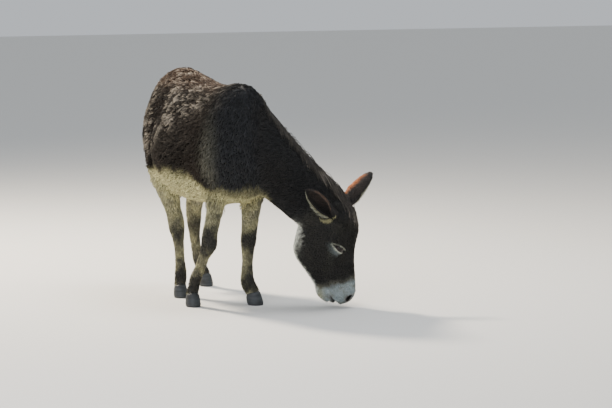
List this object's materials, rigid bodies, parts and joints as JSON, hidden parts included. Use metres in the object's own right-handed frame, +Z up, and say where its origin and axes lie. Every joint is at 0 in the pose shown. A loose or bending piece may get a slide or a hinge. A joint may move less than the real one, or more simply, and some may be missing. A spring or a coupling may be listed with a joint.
{
  "type": "donkey",
  "caption": "Life-size standing donkey with its head turned and lowered to graze, as one still model.",
  "frame": {"origin": "on the ground, under the middle of the whole model's box", "axes": "+X to the front of the trunk, +Y to the animal's left, +Z up; the hoof soles lie on z = 0"},
  "size_m": [1.4036, 0.9518, 1.1762],
  "materials": {
    "coat": "thick woolly winter coat, dark brown above and cream below",
    "horn": "dull slate-grey hoof horn",
    "eye": "wet, nearly black"
  },
  "bodies": {
    "root": {"trunk": "coat", "neck": "coat", "head": "coat", "tail": "coat", "ear_left": "coat", "ear_right": "coat", "foreleg_left": "coat", "foreleg_right": "coat", "hindleg_left": "coat", "hindleg_right": "coat", "forehoof_left": "horn", "forehoof_right": "horn", "hindhoof_left": "horn", "hindhoof_right": "horn", "eye_left": "eye", "eye_right": "eye"}
  },
  "joints": []
}
